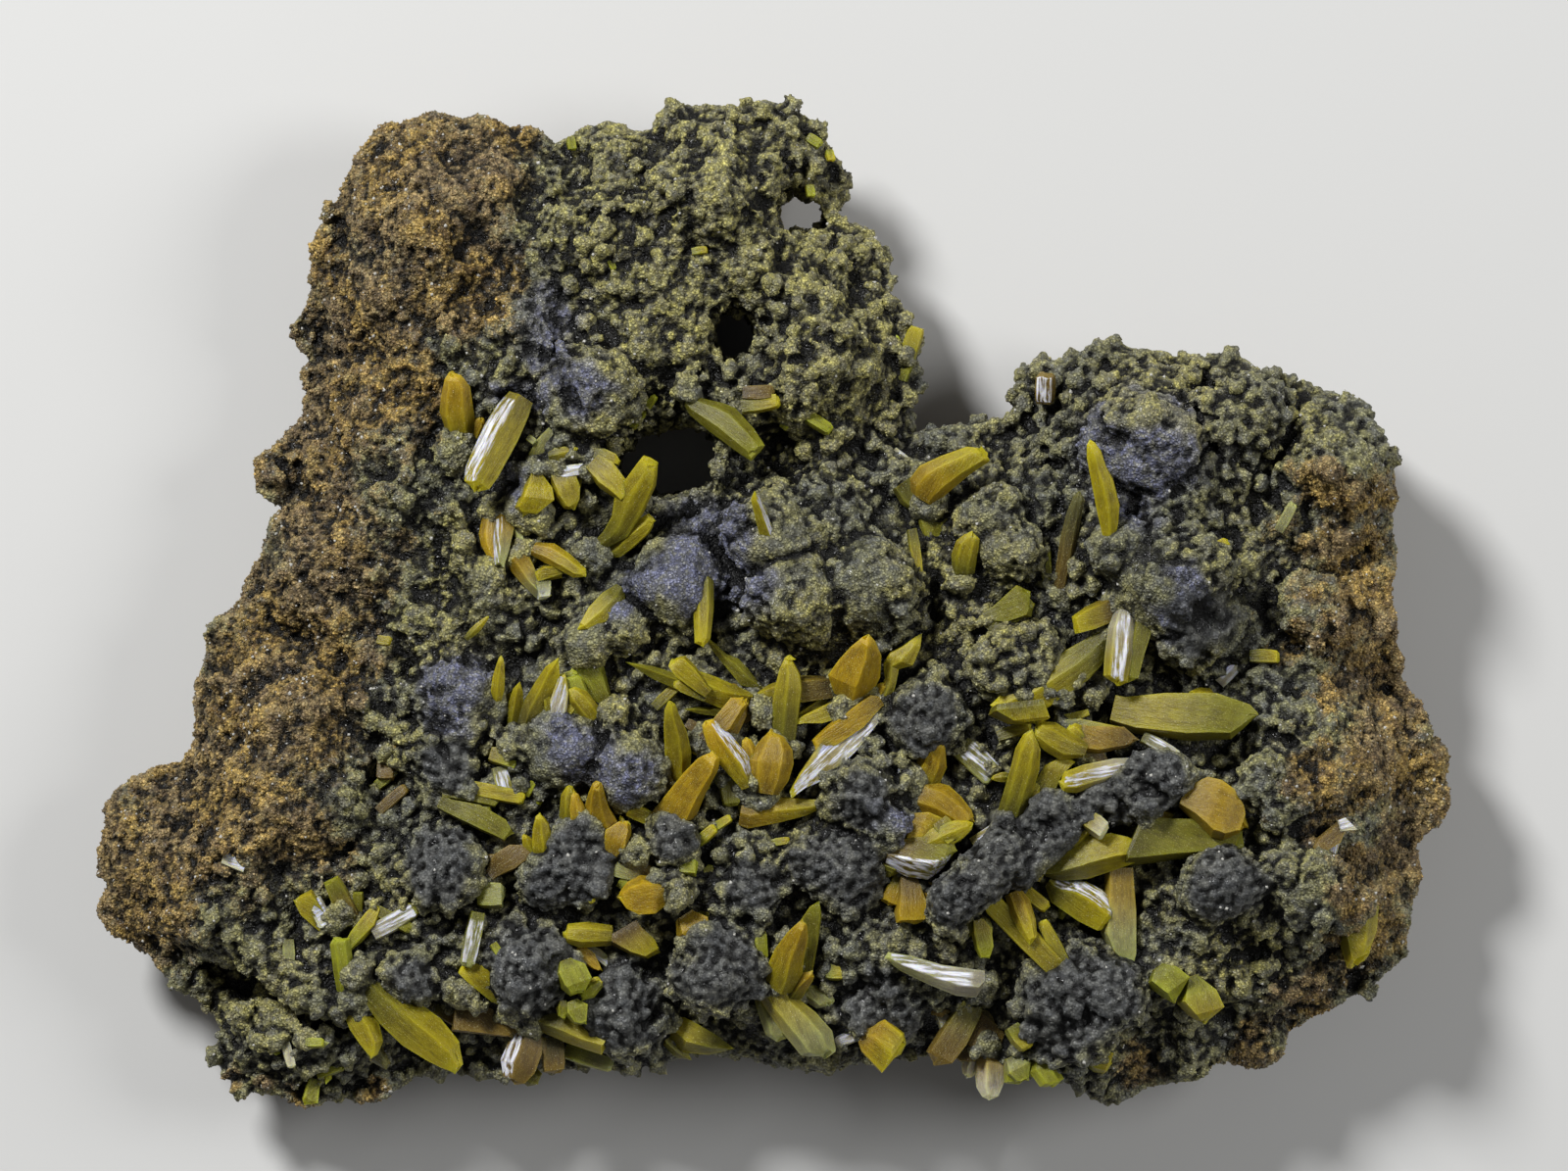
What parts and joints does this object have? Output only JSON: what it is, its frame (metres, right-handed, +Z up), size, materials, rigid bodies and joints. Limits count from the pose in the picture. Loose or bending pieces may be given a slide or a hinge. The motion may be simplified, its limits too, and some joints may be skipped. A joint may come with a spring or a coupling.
{
  "type": "mineral specimen",
  "caption": "Plate of dark granular crust on ochre limonite, lying on its flat underside, covered with blades and spindles of yellow to olive wulfenite",
  "frame": {"origin": "middle of the plan, at the level of the flat underside", "axes": "+X along the longest side to the right lobe, +Y to the upper lobe, +Z up out of the crystal-bearing face"},
  "size_m": [0.136, 0.1028, 0.0278],
  "materials": {
    "matrix": "matte",
    "amber_crystal": "satin",
    "yellow_crystal": "satin",
    "olive_crystal": "satin",
    "green_crystal": "satin",
    "brown_crystal": "satin",
    "pale_crystal": "satin"
  },
  "bodies": {
    "root": {"matrix": "matrix", "nest_amber_spindle": "amber_crystal", "nest_tall_spindle": "yellow_crystal", "nest_middle_fan": "yellow_crystal", "nest_long_blade": "olive_crystal", "nest_lower_pair": "yellow_crystal", "nest_foot": "yellow_crystal", "shelf_olive_blade": "olive_crystal", "shelf_prism": "yellow_crystal", "shelf_pale_needle": "pale_crystal", "hollow_blade": "olive_crystal", "notch_lens": "amber_crystal", "notch_amber_stub": "amber_crystal", "east_olive_plate": "olive_crystal", "east_tall_needle": "yellow_crystal", "east_brown_blade": "brown_crystal", "east_silver_fan": "yellow_crystal", "east_great_spindle": "olive_crystal", "knot_north": "yellow_crystal", "knot_chunk": "amber_crystal", "knot_fan": "yellow_crystal", "centre_tip": "amber_crystal", "centre_silver_slab": "olive_crystal", "centre_brown_stub": "brown_crystal", "fan_west_rod": "yellow_crystal", "fan_crossed_pair": "yellow_crystal", "fan_ridge": "amber_crystal", "fan_spike": "yellow_crystal", "fan_slab": "amber_crystal", "fan_silver_group": "amber_crystal", "fan_low_star": "yellow_crystal", "west_tip": "amber_crystal", "west_stub": "yellow_crystal", "west_slab": "olive_crystal", "west_shards": "yellow_crystal", "west_olive_slab": "olive_crystal", "west_brown_stub": "brown_crystal", "west_ovoid": "yellow_crystal", "south_great_blade": "amber_crystal", "south_brown_plate": "brown_crystal", "south_brown_blade": "brown_crystal", "south_flat_prism": "yellow_crystal", "south_pointed_blade": "yellow_crystal", "south_green_pair": "green_crystal", "south_cap": "yellow_crystal", "south_chunk": "amber_crystal", "south_block": "amber_crystal", "south_long_blade": "yellow_crystal", "south_slant_blade": "yellow_crystal", "south_square": "amber_crystal", "south_prism": "green_crystal", "south_silver_blade": "pale_crystal", "south_brown_rod": "brown_crystal", "south_claw": "amber_crystal", "south_tablets": "green_crystal", "rim_blade": "olive_crystal", "corner_stem": "green_crystal", "corner_dark_blade": "brown_crystal", "rim_dull_stub": "pale_crystal", "corner_sprig": "green_crystal"}
  },
  "joints": []
}
